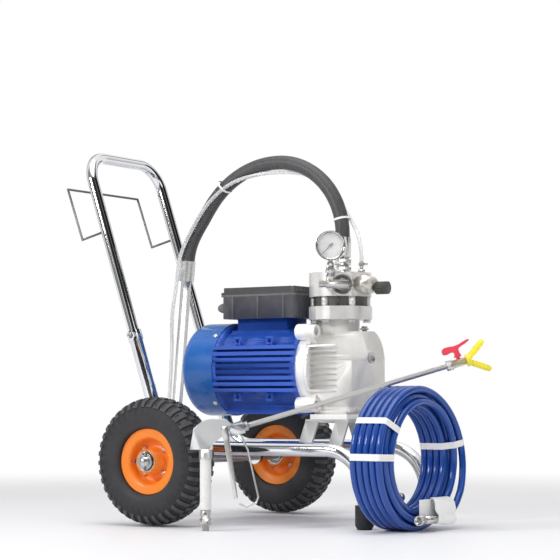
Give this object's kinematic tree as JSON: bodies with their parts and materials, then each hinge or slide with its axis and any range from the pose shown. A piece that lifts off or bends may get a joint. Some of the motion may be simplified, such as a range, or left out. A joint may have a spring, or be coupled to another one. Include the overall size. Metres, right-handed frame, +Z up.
{
  "type": "airless paint sprayer",
  "caption": "Two-wheeled chrome cart with an electric diaphragm paint pump, an arched suction hose, a spray gun with an extension pole and a coil of paint hose.",
  "frame": {"origin": "on the floor, under the middle of the wheel axle", "axes": "+X forward, from the wheels to the feet; +Y to the cart's left; +Z up"},
  "size_m": [0.9676, 0.618, 0.791],
  "materials": {
    "chrome_tube": "polished",
    "steel": "satin",
    "plated": "polished",
    "cast_alloy": "cast, satin",
    "foot_rubber": "matte",
    "tyre_rubber": "matte",
    "orange_paint": "gloss",
    "motor_blue": "satin",
    "cover_blue": "satin",
    "core_iron": "lacquered",
    "black_plastic": "matte",
    "hose_rubber": "satin",
    "dial_glass": "clear",
    "needle_black": "gloss",
    "clear_tube": "translucent",
    "white_plastic": "gloss",
    "tie_white": "matte",
    "guard_yellow": "gloss",
    "tip_red": "gloss",
    "hose_blue": "gloss"
  },
  "bodies": {
    "cart": {"frame_right": "chrome_tube", "frame_left": "chrome_tube", "axle": "steel", "axle_retainers": "steel", "motor_bracket": "steel", "feet": "foot_rubber", "sleeve_screws": "steel", "fan_cover": "cover_blue", "motor_body": "motor_blue", "stator": "core_iron", "motor_bearings": "steel", "end_shield": "cast_alloy", "motor_screws": "steel", "terminal_box": "black_plastic", "box_lid": "black_plastic", "cable_gland": "black_plastic", "crankcase": "cast_alloy", "flange_bolts": "steel", "crankcase_plugs": "steel", "piston": "steel", "pump_flange": "cast_alloy", "diaphragm": "black_plastic", "head_block": "steel", "head_bolts": "steel", "outlet_manifold": "plated", "pressure_gauge": "plated", "gauge_glass": "dial_glass", "regulator_body": "cast_alloy", "bleed_valve": "steel", "hose_ferrules": "plated", "suction_hose": "hose_rubber", "suction_pipe": "plated", "return_tube": "clear_tube", "gun_body": "plated", "trigger_guard": "plated", "gun_grip": "white_plastic", "spray_pole": "plated", "tip_guard": "guard_yellow", "hose_coil": "hose_blue", "coil_fittings": "plated", "coil_ties": "tie_white"},
    "wheel_right": {"tyre_right": "tyre_rubber", "rim_right": "orange_paint", "bearings_right": "steel", "rim_bolts_right": "steel"},
    "wheel_left": {"tyre_left": "tyre_rubber", "rim_left": "orange_paint", "bearings_left": "steel", "rim_bolts_left": "steel"},
    "handle": {"handle": "chrome_tube", "hose_hanger": "chrome_tube"},
    "rotor": {"rotor": "steel", "motor_shaft": "steel", "fan": "black_plastic", "eccentric": "steel"},
    "needle": {"gauge_needle": "needle_black"},
    "knob": {"pressure_knob": "black_plastic"},
    "trigger": {"gun_trigger": "plated"},
    "tip": {"spray_tip": "tip_red"},
    "swivel": {"inlet_swivel": "plated"}
  },
  "joints": [
    {"name": "wheel_right_spin", "type": "hinge", "parent": "cart", "child": "wheel_right", "pos_m": [0, -0.241, 0.13], "axis": [0, 1, 0], "continuous": true},
    {"name": "wheel_left_spin", "type": "hinge", "parent": "cart", "child": "wheel_left", "pos_m": [0, 0.241, 0.13], "axis": [0, 1, 0], "continuous": true},
    {"name": "handle_slide", "type": "slide", "parent": "cart", "child": "handle", "axis": [-0.3184, 0, 0.948], "range_m": [-0.14, 0]},
    {"name": "rotor_spin", "type": "hinge", "parent": "cart", "child": "rotor", "pos_m": [0.137, 0, 0.316], "axis": [1, 0, 0], "continuous": true},
    {"name": "needle_turn", "type": "hinge", "parent": "cart", "child": "needle", "pos_m": [0.3121, -0.0745, 0.562], "axis": [0.5592, -0.829, 0], "range_deg": [-270, 0], "stiffness_Nm_per_rad": 0.0005},
    {"name": "knob_turn", "type": "hinge", "parent": "cart", "child": "knob", "pos_m": [0.38, 0.004, 0.4785], "axis": [1, 0, 0], "range_deg": [-540, 540]},
    {"name": "trigger_pull", "type": "hinge", "parent": "cart", "child": "trigger", "pos_m": [0.19674, -0.28727, 0.196], "axis": [-0.5203, 0.854, 0], "range_deg": [0, 15], "stiffness_Nm_per_rad": 2, "springref_deg": -5.73},
    {"name": "tip_turn", "type": "hinge", "parent": "cart", "child": "tip", "pos_m": [0.58769, -0.04909, 0.32402], "axis": [-0.24, -0.1462, 0.9597], "range_deg": [0, 180]},
    {"name": "swivel_spin", "type": "hinge", "parent": "cart", "child": "swivel", "pos_m": [0.166, -0.306, 0.03], "axis": [0, 0, 1], "continuous": true}
  ]
}
